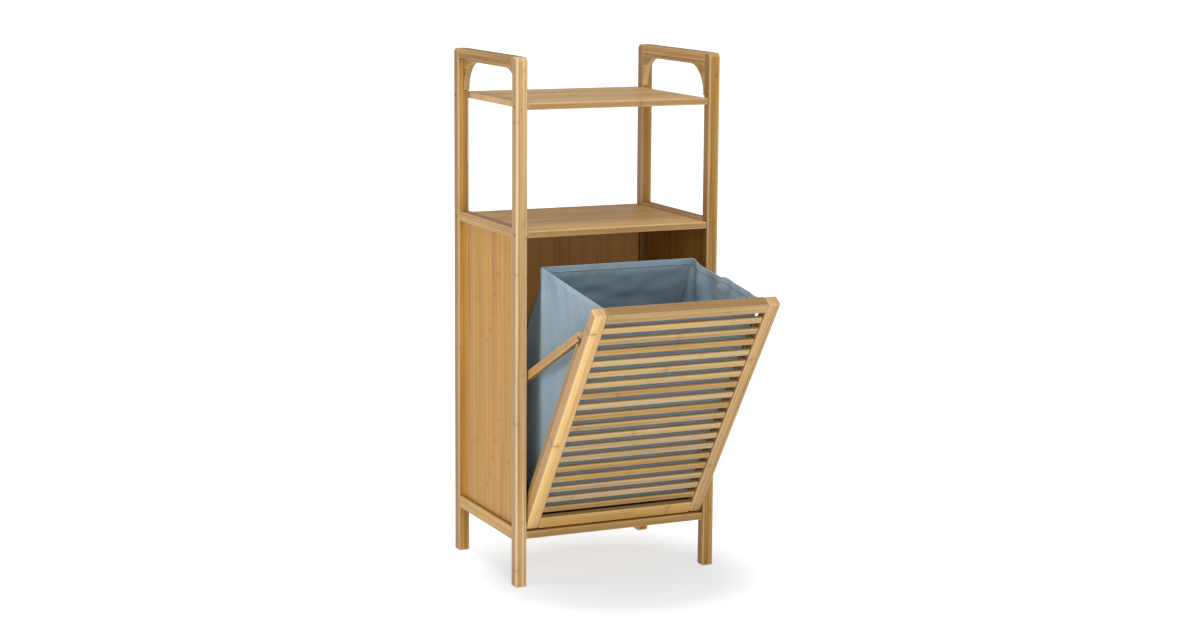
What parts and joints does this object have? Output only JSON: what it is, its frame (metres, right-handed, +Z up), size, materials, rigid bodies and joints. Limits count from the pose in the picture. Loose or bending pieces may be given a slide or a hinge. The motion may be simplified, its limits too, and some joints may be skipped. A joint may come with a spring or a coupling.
{
  "type": "tilt-out laundry cabinet",
  "caption": "Tall narrow bamboo cabinet with open shelves above and a slatted tilt-out door below that carries a fabric laundry bag.",
  "frame": {"origin": "on the floor, under the middle of the box round the cabinet and its open door", "axes": "+Z up, +Y from the door towards the back panel, +X to the right of someone facing the door"},
  "size_m": [0.4, 0.5844, 0.955],
  "materials": {
    "bamboo": "laminated bamboo with a clear satin lacquer",
    "bag_fabric": "matte woven blue-grey cloth with a turned hem",
    "zinc_steel": "zinc-plated screws and pins"
  },
  "bodies": {
    "cabinet": {"upper_shelf": "bamboo", "middle_shelf": "bamboo", "floor_board": "bamboo", "back_panel": "bamboo", "front_post_left": "bamboo", "rear_post_left": "bamboo", "handle_rail_left": "bamboo", "handle_arch_left": "bamboo", "upper_side_rail_left": "bamboo", "lower_side_rail_left": "bamboo", "side_panel_left": "bamboo", "hinge_pin_left": "zinc_steel", "front_post_right": "bamboo", "rear_post_right": "bamboo", "handle_rail_right": "bamboo", "handle_arch_right": "bamboo", "upper_side_rail_right": "bamboo", "lower_side_rail_right": "bamboo", "side_panel_right": "bamboo", "hinge_pin_right": "zinc_steel", "upper_shelf_bolt_front_left": "zinc_steel", "upper_shelf_bolt_front_right": "zinc_steel", "upper_shelf_bolt_rear_left": "zinc_steel", "upper_shelf_bolt_rear_right": "zinc_steel", "middle_shelf_bolt_front_left": "zinc_steel", "middle_shelf_bolt_front_right": "zinc_steel", "middle_shelf_bolt_rear_left": "zinc_steel", "middle_shelf_bolt_rear_right": "zinc_steel"},
    "door": {"door_top_rail": "bamboo", "door_bottom_rail": "bamboo", "door_slat_01": "bamboo", "door_slat_02": "bamboo", "door_slat_03": "bamboo", "door_slat_04": "bamboo", "door_slat_05": "bamboo", "door_slat_06": "bamboo", "door_slat_07": "bamboo", "door_slat_08": "bamboo", "door_slat_09": "bamboo", "door_slat_10": "bamboo", "door_slat_11": "bamboo", "door_slat_12": "bamboo", "door_slat_13": "bamboo", "door_slat_14": "bamboo", "door_slat_15": "bamboo", "door_slat_16": "bamboo", "door_slat_17": "bamboo", "door_slat_18": "bamboo", "door_stile_left": "bamboo", "door_batten_left": "bamboo", "stay_arm_left": "bamboo", "stay_peg_left": "bamboo", "stay_bolt_left": "zinc_steel", "door_stile_right": "bamboo", "door_batten_right": "bamboo", "stay_arm_right": "bamboo", "stay_peg_right": "bamboo", "stay_bolt_right": "zinc_steel", "laundry_bag": "bag_fabric"}
  },
  "joints": [
    {"name": "door_tilt", "type": "hinge", "parent": "cabinet", "child": "door", "pos_m": [0, 0.00513, 0.118], "axis": [-1, 0, 0], "range_deg": [0, 34]}
  ]
}
